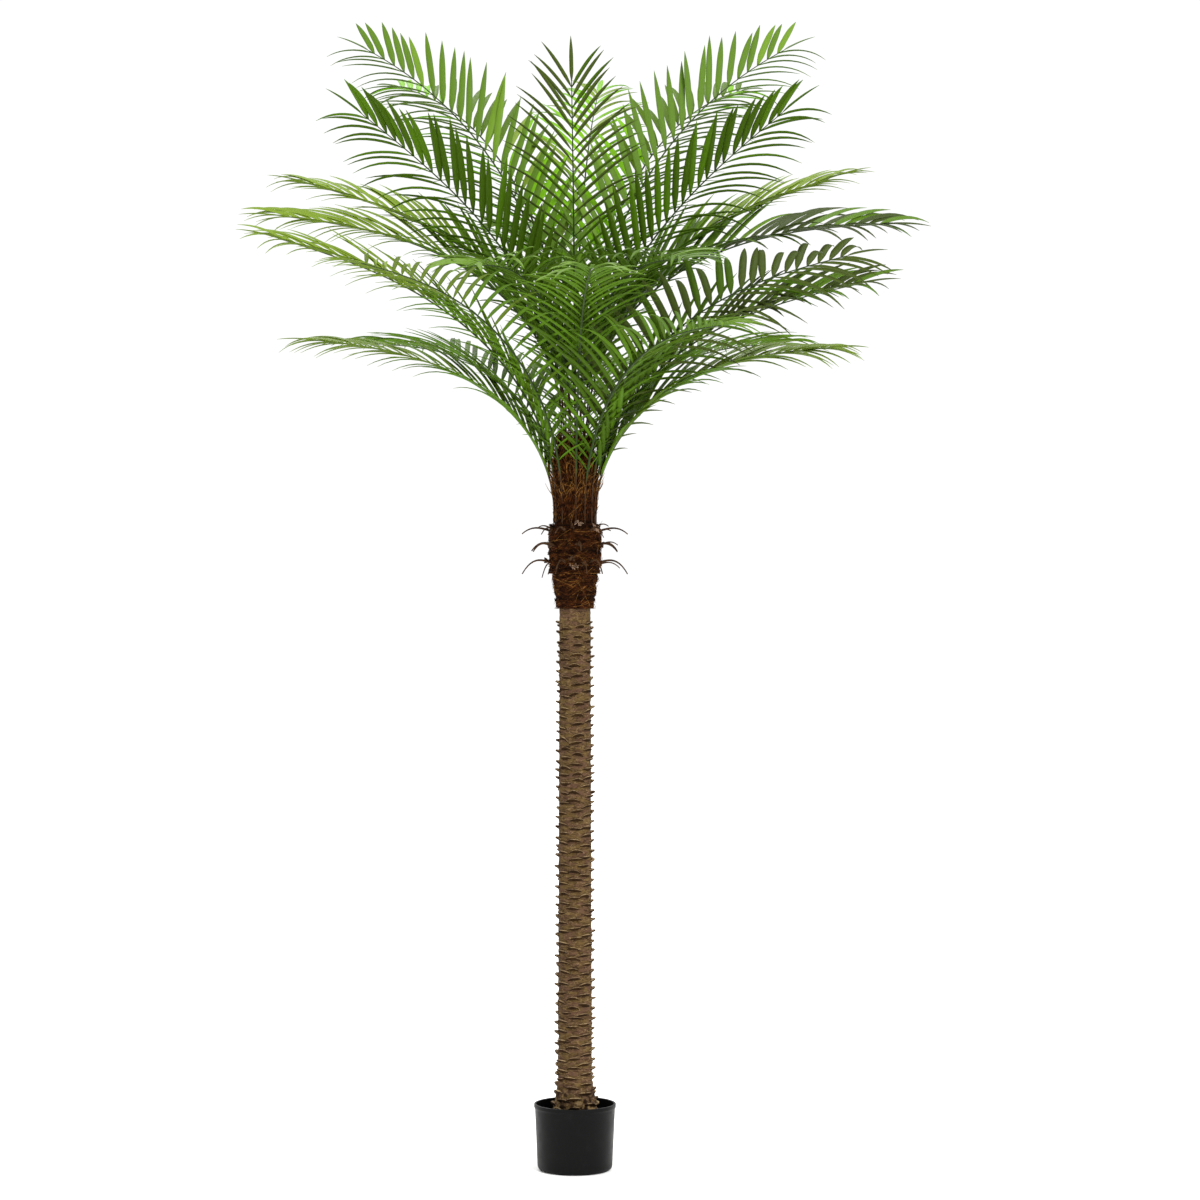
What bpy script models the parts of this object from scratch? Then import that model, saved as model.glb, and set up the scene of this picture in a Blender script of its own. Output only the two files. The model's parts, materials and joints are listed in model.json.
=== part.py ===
"""A tall artificial palm standing in a black plastic pot, each piece at its real size.

Metres, +Z up. The origin is the middle of the pot's flat underside, and -Y faces the viewer.
A moulded trunk stands in a pot of cement. Fibre sleeves wrap its upper end, with dark cut twigs
round them, and three tiers of fronds leave the top, each a ridged rib with thin pointed leaflets.
"""
import math

import bmesh
import bpy
from mathutils import Vector
from mathutils.bvhtree import BVHTree

GAP = 0.0003            # clearance between pieces that touch
SIDES = 24              # facets round every turned piece

# Pot and its filling
POT_HEIGHT = 0.172
RIM_RADIUS = 0.1065
RIM_DROP = 0.010        # height of the rolled lip
RIM_OVERHANG = 0.0025
FOOT_RADIUS = 0.0975
FOOT_ROUNDING = 0.012
CORNER_STEPS = 3
WALL = 0.003
FILLING_BELOW_RIM = 0.042
SOCKET_FLOOR = 0.050    # underside of the trunk, sunk in the filling

# Trunk: its root flare, plain shaft and the narrower core inside the sleeves
FLARE_RADIUS = 0.060
FLARE_TOP = 0.235
FLARE_STEPS = 4
FLARE_CURVE = 1.8       # how quickly the flare narrows above the filling
SHAFT_FOOT_RADIUS = 0.0445
SHAFT_TOP_RADIUS = 0.0405
TRUNK_TOP = 1.900
TRUNK_TOP_RADIUS = 0.044

# Fibre sleeves, from the lowest up
LOWER_SLEEVE_FOOT = 1.459
MAIN_SLEEVE_FOOT = 1.550
SHEATH_FOOT = 1.675
LOWER_SLEEVE_RADII = (0.0465, 0.0535, 0.0560)
MAIN_SLEEVE_RADII = (0.0640, 0.0665, 0.0655)
SHEATH_RADII = (0.0540, 0.0530, 0.0500)

# Twigs round the main sleeve: height, number, first facet and droop of each tier
TWIG_RADIUS = 0.0016
TWIG_TIP = 0.5          # share of its radius that is left at a twig's tip
TWIG_STEPS = 5
TWIG_CLEARANCE = 0.0006  # from the sleeve to the middle of a twig's slanted foot
TWIG_REACH = 0.074
TWIG_SHORTER = 0.14     # share by which the second and third of every three twigs fall short
TWIG_RISE = 0.012
TWIG_ARCH = 108         # degrees of the sine wave that a twig's arch follows
TWIG_TIERS = ((1.660, 6, 0, 0.020), (1.621, 6, 2, 0.026), (1.578, 6, 0, 0.042))

# Ribs and leaflets
RIB_WIDTH = 0.009
RIB_HEIGHT = 0.007
RIB_TIP = 0.35          # share of the rib's size that is left at its tip
BEND_STEPS = 240
STRAIGHT_SHARE = 0.04   # share of the rib that stands straight before it bends
PAIRS = 14              # leaflet pairs on a frond
FIRST_PAIR = 0.19      # shares of the rib at its first and last pairs
LAST_PAIR = 0.965
ROOT_LENGTH = 0.010     # stretch of rib that one pair of leaflets grows from
BLADE_LENGTH = 0.250
LONGEST_PAIR = 0.40     # where the longest leaflets are, between the first pair and the last
LENGTH_FALL = 1.25      # how fast the leaflets get shorter toward both ends
BASE_SHARE = 0.50       # share of its length that a leaflet of the first pair keeps
BASE_GROWTH = 2.2       # how fast that share grows along the rib
BLADE_WIDTH = 0.022
SHORT_BLADE_WIDTH = 0.25  # a blade keeps its width until it is shorter by more than this share
BLADE_THICKNESS = 0.0027
BLADE_SHOULDER = 0.48   # share of the blade before its widest place
BLADE_DROOP = 24        # degrees that its outer half hangs below its inner half
WIDEST_PAIR = 0.30      # where leaflets stand out from the rib the most
SWEEP_FALL = 0.8        # how fast that angle falls toward both ends
SKYWARD = 10            # how strongly leaflets on a steep rib turn their faces to the sky
TRIAL_MARGIN = 0.0020   # how much fatter a leaflet is while its place is tested
TRIALS = [(shrink, turn) for shrink in (1, 0.8, 0.6, 0.45) for turn in (0, 9, -9, 18, -18, 28, -28)]

# Tiers of fronds: radius and height of the ring that their feet stand on, how early the ribs bend,
# whether the feet are spaced evenly or each under its own heading, and a row for each frond:
# heading (degrees from +X), length, slope at its tip, sweep of its leaflets from the rib, their
# lift, roll about the rib
TIERS = {
    "top": {"ring": 0.0180, "foot": TRUNK_TOP, "bend": 1.1, "even_feet": True, "fronds": (
        (32, 1.32, 28, 44, 16, 44),
        (55, 1.39, 15, 44, 10, 22),
        (84, 1.22, 30, 50, 12, 6),
        (128, 1.40, 15, 44, 10, -22),
        (148, 1.32, 28, 44, 16, -44),
        (268, 0.92, 66, 50, 4, 0),
    )},
    "middle": {"ring": 0.0360, "foot": TRUNK_TOP, "bend": 1.8, "even_feet": True, "fronds": (
        (8, 1.03, 20, 30, 20, 18),
        (104, 1.10, 10, 48, 24, 0),
        (172, 1.05, 17, 30, 20, -18),
        (192, 1.02, 6, 28, 22, -26),
        (205, 1.02, 34, 44, 4, 30),
        (250, 0.90, -8, 48, 24, 0),
        (292, 0.90, -6, 48, 24, 0),
        (335, 1.02, 35, 44, 4, -30),
        (347, 1.07, 1, 46, 22, 22),
    )},
    "low": {"ring": 0.0597, "foot": SHEATH_FOOT, "bend": 1.8, "even_feet": False, "fronds": (
        (0, 0.84, 6, 36, 10, 14),
        (40, 0.95, 5, 48, 22, 0),
        (78, 0.95, 1, 48, 22, 0),
        (140, 0.95, 5, 48, 22, 0),
        (180, 0.86, 7, 36, 10, -14),
        (208, 1.14, 13, 30, 24, -24),
        (234, 1.12, 5, 62, 18, 0),
        (273, 1.12, 2, 48, 20, 0),
        (298, 0.95, -1, 48, 24, 0),
        (322, 1.13, 8, 58, 6, -20),
        (339, 1.02, 10, 42, 26, 24),
    )},
}

UP = Vector((0, 0, 1))


def linear(hex_colour):
    """Turns an sRGB hex colour into the linear values that a shader takes."""
    values = [int(hex_colour[i:i + 2], 16) / 255 for i in (1, 3, 5)]
    return tuple(v / 12.92 if v <= 0.04045 else ((v + 0.055) / 1.055) ** 2.4 for v in values) + (1,)


def plain_material(name, hex_colour, roughness):
    material = bpy.data.materials.new(name)
    material.use_nodes = True
    shader = material.node_tree.nodes["Principled BSDF"]
    shader.inputs["Base Color"].default_value = linear(hex_colour)
    shader.inputs["Roughness"].default_value = roughness
    shader.inputs["Metallic"].default_value = 0
    return material


def add_object(name, data, material):
    data.materials.append(material)
    obj = bpy.data.objects.new(name, data)
    palm.objects.link(obj)
    return obj


def turned(name, profile, material, closed=False):
    """A turned piece: its profile at +X, given down the outer side, spun by a Screw modifier."""
    edges = [(i, i + 1) for i in range(len(profile) - 1)]
    if closed:
        edges.append((len(profile) - 1, 0))
    mesh = bpy.data.meshes.new(name)
    mesh.from_pydata([(radius, 0, z) for radius, z in profile], edges, [])
    obj = add_object(name, mesh, material)
    screw = obj.modifiers.new("Turn", "SCREW")
    screw.steps = SIDES
    screw.render_steps = SIDES
    screw.use_merge_vertices = True
    screw.merge_threshold = 0.00001
    return obj


def pot_outside(z):
    """Radius of the pot's tapering outer wall at a height."""
    return FOOT_RADIUS + (RIM_RADIUS - RIM_OVERHANG - FOOT_RADIUS) * z / POT_HEIGHT


def make_pot():
    """A thin tapering shell with a rolled lip and a rounded corner round its flat underside."""
    lip = RIM_RADIUS - RIM_OVERHANG
    corner = []
    for step in range(CORNER_STEPS + 1):
        angle = math.radians(90) * step / CORNER_STEPS
        corner.append((
            pot_outside(FOOT_ROUNDING) - FOOT_ROUNDING * (1 - math.cos(angle)),
            FOOT_ROUNDING * (1 - math.sin(angle)),
        ))
    inside_foot = pot_outside(FOOT_ROUNDING) - WALL
    profile = [(RIM_RADIUS, POT_HEIGHT), (RIM_RADIUS, POT_HEIGHT - RIM_DROP), (lip, POT_HEIGHT - RIM_DROP)]
    profile += corner
    profile += [(0, 0), (0, WALL), (inside_foot - FOOT_ROUNDING, WALL), (inside_foot, FOOT_ROUNDING + WALL)]
    profile.append((pot_outside(POT_HEIGHT) - WALL, POT_HEIGHT))
    return turned("pot", profile, pot_black, closed=True)


def make_filling():
    """The cement that weighs the pot down, cast round the foot of the trunk."""
    top = POT_HEIGHT - FILLING_BELOW_RIM
    inside_foot = pot_outside(FOOT_ROUNDING) - WALL - GAP
    socket = FLARE_RADIUS + GAP
    profile = [
        (socket, top),
        (pot_outside(top) - WALL - GAP, top),
        (inside_foot, FOOT_ROUNDING + WALL + GAP),
        (inside_foot - FOOT_ROUNDING, WALL + GAP),
        (0, WALL + GAP),
        (0, SOCKET_FLOOR),
        (socket, SOCKET_FLOOR),
    ]
    return turned("filling", profile, cement_grey, closed=True)


def make_trunk():
    """The moulded trunk: root flare, gently tapering shaft, and the core that the fronds leave."""
    foot = SOCKET_FLOOR + GAP
    surface = POT_HEIGHT - FILLING_BELOW_RIM
    flare = []
    for step in range(1, FLARE_STEPS + 1):
        share = step / FLARE_STEPS
        spread = (FLARE_RADIUS - SHAFT_FOOT_RADIUS) * (1 - share) ** FLARE_CURVE
        flare.append((SHAFT_FOOT_RADIUS + spread, surface + (FLARE_TOP - surface) * share))
    shaft = [
        ((SHAFT_FOOT_RADIUS + SHAFT_TOP_RADIUS) / 2, (FLARE_TOP + LOWER_SLEEVE_FOOT) / 2),
        (SHAFT_TOP_RADIUS, LOWER_SLEEVE_FOOT),
        (SHAFT_TOP_RADIUS, SHEATH_FOOT),
        (TRUNK_TOP_RADIUS, TRUNK_TOP),
    ]
    upward = [(0, foot), (FLARE_RADIUS, foot), (FLARE_RADIUS, surface)] + flare + shaft + [(0, TRUNK_TOP)]
    return turned("trunk", upward[::-1], bark_tan)


def core_radius(z):
    """Radius of the trunk's core inside the sleeves."""
    share = max(0, (z - SHEATH_FOOT) / (TRUNK_TOP - SHEATH_FOOT))
    return SHAFT_TOP_RADIUS + (TRUNK_TOP_RADIUS - SHAFT_TOP_RADIUS) * share


def make_sleeve(name, foot, top, radii, material):
    """A wrap of fibre round the core, with its three outer radii at the foot, middle and top."""
    low, middle, high = radii
    profile = [
        (core_radius(top) + GAP, top),
        (high, top),
        (middle, (foot + top) / 2),
        (low, foot),
        (core_radius(foot) + GAP, foot),
    ]
    return turned(name, profile, material, closed=True)


def sleeve_surface(z):
    """Distance from the axis to the middle of a facet of the main sleeve, at a height."""
    low, middle, high = MAIN_SLEEVE_RADII
    share = 2 * (z - MAIN_SLEEVE_FOOT) / (SHEATH_FOOT - MAIN_SLEEVE_FOOT)
    radius = low + (middle - low) * share if share < 1 else middle + (high - middle) * (share - 1)
    return radius * math.cos(math.pi / SIDES)


def make_twig(name, z, angle, length, droop):
    """A stiff dark cut stalk that arches out of the sleeve and hangs a little at its end."""
    start = sleeve_surface(z) + TWIG_CLEARANCE
    curve = bpy.data.curves.new(name, "CURVE")
    curve.dimensions = "3D"
    curve.bevel_depth = TWIG_RADIUS
    curve.bevel_resolution = 1
    curve.use_fill_caps = True
    spline = curve.splines.new("POLY")
    spline.points.add(TWIG_STEPS)
    for i, point in enumerate(spline.points):
        share = i / TWIG_STEPS
        reach = start + length * share
        height = z + TWIG_RISE * math.sin(math.radians(TWIG_ARCH) * share) - droop * share ** 3
        point.co = (reach * math.cos(angle), reach * math.sin(angle), height, 1)
        point.radius = 1 - (1 - TWIG_TIP) * share
    return add_object(name, curve, twig_dark)


def rib_path(row, tier, foot_angle, stations):
    """Place and direction of the rib at each station, bending from upright to its tip's slope."""
    heading, length, tip_slope = row[:3]
    place = Vector((math.cos(foot_angle), math.sin(foot_angle), 0)) * tier["ring"]
    place.z = tier["foot"] + GAP
    outward = Vector((math.cos(math.radians(heading)), math.sin(math.radians(heading)), 0))
    path = []
    for i in range(BEND_STEPS + 1):
        share = i / BEND_STEPS
        bent = max(0, share - STRAIGHT_SHARE) / (1 - STRAIGHT_SHARE)
        slope = math.radians(90 + (tip_slope - 90) * (1 - (1 - bent) ** tier["bend"]))
        direction = outward * math.cos(slope) + UP * math.sin(slope)
        while len(path) < len(stations) and stations[len(path)] <= share + 0.5 / BEND_STEPS:
            path.append((place.copy(), direction.copy()))
        place += direction * length / BEND_STEPS
    return path


def rib_corners(place, direction, side, size):
    """A rib's section, flat underneath and with a ridge along its upper side."""
    upper = direction.cross(side)
    half = side * RIB_WIDTH / 2 * size
    under = place - upper * RIB_HEIGHT / 3 * size
    return [under - half, under + half, place + upper * RIB_HEIGHT * 2 / 3 * size]


def extrude_to(bm, face, corners):
    """Extrudes a face and takes its corners, in their order, to the given places."""
    face = bmesh.ops.extrude_discrete_faces(bm, faces=[face])["faces"][0]
    for vert, corner in zip(face.verts, corners):
        vert.co = corner
    return face


def draw_to_point(bm, face, place):
    """Closes a face to a point, as the tip of a rib or a leaflet."""
    bmesh.ops.poke(bm, faces=[face])["verts"][0].co = place


def blade_form(root, direction, facing, length, fatter=0):
    """Corners at a leaflet's widest place, in the order of its root's corners, and its tip."""
    across = direction.cross(facing).normalized()
    normal = across.cross(direction)
    centre = sum(root, Vector()) / 4
    shoulder = centre + direction * length * BLADE_SHOULDER
    droop = math.radians(BLADE_DROOP)
    outer = direction * math.cos(droop) - normal * math.sin(droop)
    tip = shoulder + outer * length * (1 - BLADE_SHOULDER)
    width = across * (BLADE_WIDTH / 2 * min(1, SHORT_BLADE_WIDTH + length / BLADE_LENGTH) + fatter)
    depth = normal * (BLADE_THICKNESS / 2 + fatter)
    ring = [shoulder + width - depth, shoulder + width + depth,
            shoulder - width + depth, shoulder - width - depth]
    root_turn = (root[1] - root[0]).cross(root[2] - root[1]).dot(direction)
    ring_turn = (ring[1] - ring[0]).cross(ring[2] - ring[1]).dot(direction)
    if root_turn * ring_turn < 0:
        ring.reverse()

    def agreement(shift):
        return sum((root[i] - centre).dot(ring[i + shift - 4] - shoulder) for i in range(4))

    best = max(range(4), key=agreement)
    return [ring[i + best - 4] for i in range(4)], tip


def blade_tree(root, ring, tip):
    """A search tree of one trial leaflet, with both ways of splitting each twisted side."""
    triangles = []
    for i in range(4):
        low, low_next, high, high_next = i, (i + 1) % 4, 4 + i, 4 + (i + 1) % 4
        triangles += [(low, low_next, high_next), (low, high_next, high)]
        triangles += [(low, low_next, high), (low_next, high_next, high)]
        triangles.append((high, high_next, 8))
    return BVHTree.FromPolygons(root + ring + [tip], triangles)


class Frond:
    """A frond whose tapering rib is laid out first, and whose leaflets are grown afterwards."""

    def __init__(self, name, row, tier, foot_angle):
        heading, self.length, _, self.sweep, self.lift, self.roll = row
        self.name = name
        self.side = Vector((-math.sin(math.radians(heading)), math.cos(math.radians(heading)), 0))
        half_root = ROOT_LENGTH / 2 / self.length
        self.stations = [0]
        for i in range(PAIRS):
            share = FIRST_PAIR + (LAST_PAIR - FIRST_PAIR) * i / (PAIRS - 1)
            self.stations += [share - half_root, share + half_root]
        self.stations.append(1)
        self.path = rib_path(row, tier, foot_angle, self.stations)
        self.bm = bmesh.new()
        self.roots = self.draw_rib()

    def corners(self, i):
        place, direction = self.path[i]
        return rib_corners(place, direction, self.side, 1 - (1 - RIB_TIP) * self.stations[i])

    def draw_rib(self):
        """Draws the rib, and returns the two faces of each stretch that leaflets grow from."""
        bmesh.ops.create_cone(self.bm, cap_ends=True, segments=3, radius1=1, radius2=1, depth=1)
        end = max(self.bm.faces, key=lambda face: face.calc_center_median().z)
        for vert, low, high in zip(end.verts, self.corners(0), self.corners(1)):
            upright = next(edge for edge in vert.link_edges if edge not in end.edges)
            upright.other_vert(vert).co = low
            vert.co = high
        roots = []
        for i in range(2, len(self.path) - 1):
            end = extrude_to(self.bm, end, self.corners(i))
            if i % 2 == 0:
                sides = [next(f for f in loop.edge.link_faces if f is not end) for loop in end.loops]
                roots.append((sides[1], sides[2]))
        draw_to_point(self.bm, end, self.path[-1][0])
        return roots

    def grow_leaflets(self, obstacles):
        """Grows a pair of leaflets from each stretch, where and as long as they clear the rest."""
        for pair, faces in enumerate(self.roots):
            along = pair / (PAIRS - 1)
            sweep = math.radians(self.sweep * (1 - SWEEP_FALL * (along - WIDEST_PAIR) ** 2))
            length = BLADE_LENGTH * (1 - LENGTH_FALL * (along - LONGEST_PAIR) ** 2)
            length *= min(1, BASE_SHARE + BASE_GROWTH * along)
            _, direction = self.path[2 * pair + 2]
            upper = direction.cross(self.side)
            for face, hand in zip(faces, (1, -1)):
                root = [vert.co.copy() for vert in face.verts]
                for shrink, turn in TRIALS:
                    lift = math.radians(self.lift + hand * self.roll + turn)
                    out = self.side * hand * math.cos(lift) + upper * math.sin(lift)
                    facing = upper * math.cos(lift) - self.side * hand * math.sin(lift)
                    blade = direction * math.cos(sweep) + out * math.sin(sweep)
                    facing += UP * SKYWARD * max(0, direction.z) ** 2 * (1 - blade.z)
                    trial = blade_tree(root, *blade_form(root, blade, facing, length * shrink, TRIAL_MARGIN))
                    if not any(trial.overlap(tree) for tree in obstacles):
                        ring, tip = blade_form(root, blade, facing, length * shrink)
                        draw_to_point(self.bm, extrude_to(self.bm, face, ring), tip)
                        break
                else:
                    skipped.append(self.name)
        bmesh.ops.triangulate(self.bm, faces=self.bm.faces)

    def finish(self, material):
        mesh = bpy.data.meshes.new(self.name)
        self.bm.to_mesh(mesh)
        self.bm.free()
        add_object(self.name, mesh, material)


for old in list(bpy.data.objects):
    bpy.data.objects.remove(old)
palm = bpy.data.collections.new("artificial_palm")
bpy.context.scene.collection.children.link(palm)

pot_black = plain_material("satin black plastic", "#1f1f1f", 0.42)
cement_grey = plain_material("cast cement", "#6f6c66", 0.9)
bark_tan = plain_material("moulded tan bark", "#8b7253", 0.8)
fibre_brown = plain_material("red-brown palm fibre", "#4a2c19", 0.9)
twig_dark = plain_material("dark cut twig", "#37302a", 0.7)
leaf_green = plain_material("dyed green leaf", "#4c7a1d", 0.55)

make_pot()
make_filling()
trunk = make_trunk()
make_sleeve("lower_sleeve", LOWER_SLEEVE_FOOT, MAIN_SLEEVE_FOOT - GAP, LOWER_SLEEVE_RADII, fibre_brown)
make_sleeve("main_sleeve", MAIN_SLEEVE_FOOT, SHEATH_FOOT - GAP, MAIN_SLEEVE_RADII, fibre_brown)
sheath = make_sleeve("upper_sheath", SHEATH_FOOT, TRUNK_TOP, SHEATH_RADII, fibre_brown)

for row, (height, number, first_facet, droop) in enumerate(TWIG_TIERS, start=1):
    for i in range(number):
        facet = first_facet + i * SIDES // number + 0.5
        length = TWIG_REACH * (1 - TWIG_SHORTER * (i % 3))
        make_twig(f"twig_{row}_{i + 1}", height, facet * 2 * math.pi / SIDES, length, droop)

fronds = []
for tier_name, tier in TIERS.items():
    rows = tier["fronds"]
    step = 2 * math.pi / len(rows)
    middle = sum(math.radians(row[0]) - i * step for i, row in enumerate(rows)) / len(rows)
    for i, row in enumerate(rows):
        foot_angle = middle + i * step if tier["even_feet"] else math.radians(row[0])
        fronds.append(Frond(f"frond_{tier_name}_{i + 1}", row, tier, foot_angle))

skipped = []
view = bpy.context.evaluated_depsgraph_get()
stem = [BVHTree.FromObject(obj, view) for obj in (trunk, sheath)]
trees = [BVHTree.FromBMesh(frond.bm) for frond in fronds]
for i, frond in enumerate(fronds):
    frond.grow_leaflets(stem + trees[:i] + trees[i + 1:])
    trees[i] = BVHTree.FromBMesh(frond.bm)
for frond in fronds:
    frond.finish(leaf_green)
print("leaflets left out:", len(skipped), skipped)
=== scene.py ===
"""The looks of a tall artificial palm in a black plastic pot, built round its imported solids.

Metres, +Z up, in the frame of the solids, with -Y toward the viewer. A moulded trunk with pointed
scales stands in a pot of cement. Wraps of brown fibre and dark cut twigs close its upper end, and
three tiers of fronds, each a wire rib in a plastic skin with two rows of dyed leaflets, leave it.
"""
import json
import math
import random

import bmesh
import bpy
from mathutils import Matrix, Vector, noise

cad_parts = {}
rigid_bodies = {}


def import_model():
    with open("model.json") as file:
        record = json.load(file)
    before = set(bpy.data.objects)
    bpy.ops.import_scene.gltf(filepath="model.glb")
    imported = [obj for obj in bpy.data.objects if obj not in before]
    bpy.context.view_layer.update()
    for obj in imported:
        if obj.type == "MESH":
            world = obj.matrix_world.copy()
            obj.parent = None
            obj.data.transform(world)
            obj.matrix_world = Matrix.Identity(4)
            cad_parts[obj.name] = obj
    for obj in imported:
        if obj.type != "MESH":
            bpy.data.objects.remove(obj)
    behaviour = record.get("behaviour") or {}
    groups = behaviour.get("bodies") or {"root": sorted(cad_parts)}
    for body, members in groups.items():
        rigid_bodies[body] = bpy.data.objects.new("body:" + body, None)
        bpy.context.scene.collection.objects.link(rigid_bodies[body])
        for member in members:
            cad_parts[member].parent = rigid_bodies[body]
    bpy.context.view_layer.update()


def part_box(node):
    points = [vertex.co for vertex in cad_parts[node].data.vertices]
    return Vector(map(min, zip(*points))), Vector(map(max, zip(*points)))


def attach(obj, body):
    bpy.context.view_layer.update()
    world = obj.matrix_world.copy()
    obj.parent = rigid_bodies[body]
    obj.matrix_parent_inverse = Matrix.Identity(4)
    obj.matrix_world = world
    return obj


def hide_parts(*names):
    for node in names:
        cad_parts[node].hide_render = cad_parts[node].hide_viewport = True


for old in list(bpy.data.objects):
    bpy.data.objects.remove(old)
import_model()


# Camera, floor and light
# The photograph is a studio cut-out on plain white, taken level and from far off, with soft
# light from all round and more of it from above and the right.
PHOTO_WIDTH = 3.12      # metres across the photograph's frame, at the trunk
CAMERA_PLACE = Vector((0.065, -7.7, 1.48))
SENSOR_WIDTH = 36
FLOOR_REACH = 60
WHITE_STRENGTH = 1.04   # of the white room, a little over 1 so that the ground behind stays white
LIGHT_DISTANCE = 6
LIGHTS = {              # direction that it comes from, how soft it is in degrees, and its strength
    "key": ((0.50, -0.62, 0.60), 30, 2.6),
    "fill": ((-0.80, -0.55, 0.25), 60, 0.5),
    "back": ((-0.25, 0.55, 0.80), 40, 1.2),
}


def linear(hex_colour):
    """Turns an sRGB hex colour into the linear values that a shader takes."""
    values = [int(hex_colour[i:i + 2], 16) / 255 for i in (1, 3, 5)]
    return tuple(v / 12.92 if v <= 0.04045 else ((v + 0.055) / 1.055) ** 2.4 for v in values) + (1,)


def place_in_scene(name, data):
    """A new object in the scene that holds the given mesh, curve, lamp or camera."""
    obj = bpy.data.objects.new(name, data)
    bpy.context.scene.collection.objects.link(obj)
    return obj


def finish_named(name, colour, roughness, **sockets):
    """A new material with its plain values set on the shader's own sockets."""
    material = bpy.data.materials.new(name)
    material.use_nodes = True
    shader = material.node_tree.nodes["Principled BSDF"]
    shader.inputs["Base Color"].default_value = linear(colour)
    shader.inputs["Roughness"].default_value = roughness
    for socket, value in sockets.items():
        shader.inputs[socket.replace("_", " ")].default_value = value
    return material, material.node_tree, shader


camera = place_in_scene("photo_camera", bpy.data.cameras.new("photo_camera"))
camera.data.sensor_width = SENSOR_WIDTH
camera.data.lens = SENSOR_WIDTH * abs(CAMERA_PLACE.y) / PHOTO_WIDTH
camera.location = CAMERA_PLACE
camera.rotation_euler = (math.radians(90), 0, 0)
bpy.context.scene.camera = camera

for name, (direction, softness, strength) in LIGHTS.items():
    lamp = place_in_scene(name, bpy.data.lights.new(name, "SUN"))
    lamp.data.angle = math.radians(softness)
    lamp.data.energy = strength
    lamp.location = Vector(direction) * LIGHT_DISTANCE
    lamp.rotation_euler = Vector(direction).to_track_quat("Z", "Y").to_euler()

world = bpy.data.worlds.new("white studio")
world.use_nodes = True
world.node_tree.nodes["Background"].inputs["Color"].default_value = (1, 1, 1, 1)
world.node_tree.nodes["Background"].inputs["Strength"].default_value = WHITE_STRENGTH
bpy.context.scene.world = world
bpy.context.scene.view_settings.view_transform = "Standard"

# Matt and nearly white, so that the floor melts into the white behind it
sheet = bmesh.new()
bmesh.ops.create_grid(sheet, x_segments=1, y_segments=1, size=FLOOR_REACH)
floor = place_in_scene("floor", bpy.data.meshes.new("floor"))
sheet.to_mesh(floor.data)
sheet.free()
floor.data.materials.append(finish_named("white studio floor", "#fcfcfb", 0.9)[0])


# Pot
# A nursery pot of black polypropylene, injection moulded in one piece: a thin wall that tapers to
# a rounded corner, and a rolled lip. The mould leaves it satin, with a faint grain and soft scuffs.
POT_LIP_DROP = 0.010    # height of the lip
POT_LIP_OVERHANG = 0.0025
POT_LIP_ROUNDING = 0.0014
POT_LIP_DRAFT = 0.006   # height of the slope under the lip
POT_FOOT_RADIUS = 0.0975
POT_CORNER = 0.012
POT_WALL = 0.003
POT_STEPS = 144
GRAIN_MM = 0.9          # coarser than the mould's real grain, which is too fine to show
SCUFF_MM = 38.5
DUST_MM = 25
MERGE_REACH = 0.000005  # points of a turned mesh that are nearer than this are one
UP = Vector((0, 0, 1))


def arc(radius, z, reach, start, end, steps=6):
    """Points of a profile along an arc, from its centre, its reach and two angles in degrees."""
    angles = [math.radians(start + (end - start) * i / steps) for i in range(steps + 1)]
    return [(radius + reach * math.cos(a), z + reach * math.sin(a)) for a in angles]


def spun(profile, steps):
    """A closed mesh turned from a profile whose two ends lie on the axis or meet each other."""
    bm = bmesh.new()
    verts = [bm.verts.new((radius, 0, z)) for radius, z in profile]
    edges = [bm.edges.new(pair) for pair in zip(verts, verts[1:])]
    bmesh.ops.spin(bm, geom=verts + edges, cent=(0, 0, 0), axis=UP, angle=math.tau, steps=steps,
                   use_merge=True)
    bmesh.ops.remove_doubles(bm, verts=bm.verts, dist=MERGE_REACH)
    bmesh.ops.recalc_face_normals(bm, faces=bm.faces)
    return bm


def add_node(tree, kind, inputs, **settings):
    """Adds a shader node. Each of its inputs is set to a value or linked to another node's output."""
    made = tree.nodes.new("ShaderNode" + kind)
    for setting, value in settings.items():
        setattr(made, setting, value)
    for socket, value in inputs.items():
        if isinstance(value, bpy.types.NodeSocket):
            tree.links.new(value, made.inputs[socket])
        else:
            made.inputs[socket].default_value = value
    return made


def make_piece(name, bm, slot, nodes, *materials, sharp=50):
    """Turns a bmesh into a shown piece that stands for the solids named."""
    mesh = bpy.data.meshes.new(name)
    bm.to_mesh(mesh)
    bm.free()
    for material in materials:
        mesh.materials.append(material)
    mesh.shade_smooth()
    mesh.set_sharp_from_angle(angle=math.radians(sharp))
    piece = place_in_scene(name, mesh)
    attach(piece, "root")
    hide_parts(*nodes)
    return piece


pot_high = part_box("pot")[1]
rim = pot_high.x
wall_top = rim - POT_LIP_OVERHANG
lip_foot = pot_high.z - POT_LIP_DROP
lip_inside = wall_top - POT_WALL
foot_inside = POT_FOOT_RADIUS - POT_WALL
pot_profile = [(0, 0)]
pot_profile += arc(POT_FOOT_RADIUS - POT_CORNER, POT_CORNER, POT_CORNER, -90, 0)
pot_profile += [(wall_top, lip_foot - POT_LIP_DRAFT)]
pot_profile += arc(rim - POT_LIP_ROUNDING, lip_foot + POT_LIP_ROUNDING, POT_LIP_ROUNDING, -45, 0)
pot_profile += arc(rim - POT_LIP_ROUNDING, pot_high.z - POT_LIP_ROUNDING, POT_LIP_ROUNDING, 0, 90)
pot_profile += arc(lip_inside + POT_LIP_ROUNDING, pot_high.z - POT_LIP_ROUNDING, POT_LIP_ROUNDING,
                   90, 180)
pot_profile += arc(foot_inside - POT_CORNER, POT_CORNER + POT_WALL, POT_CORNER, 0, -90)
pot_profile += [(0, POT_WALL)]

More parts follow.
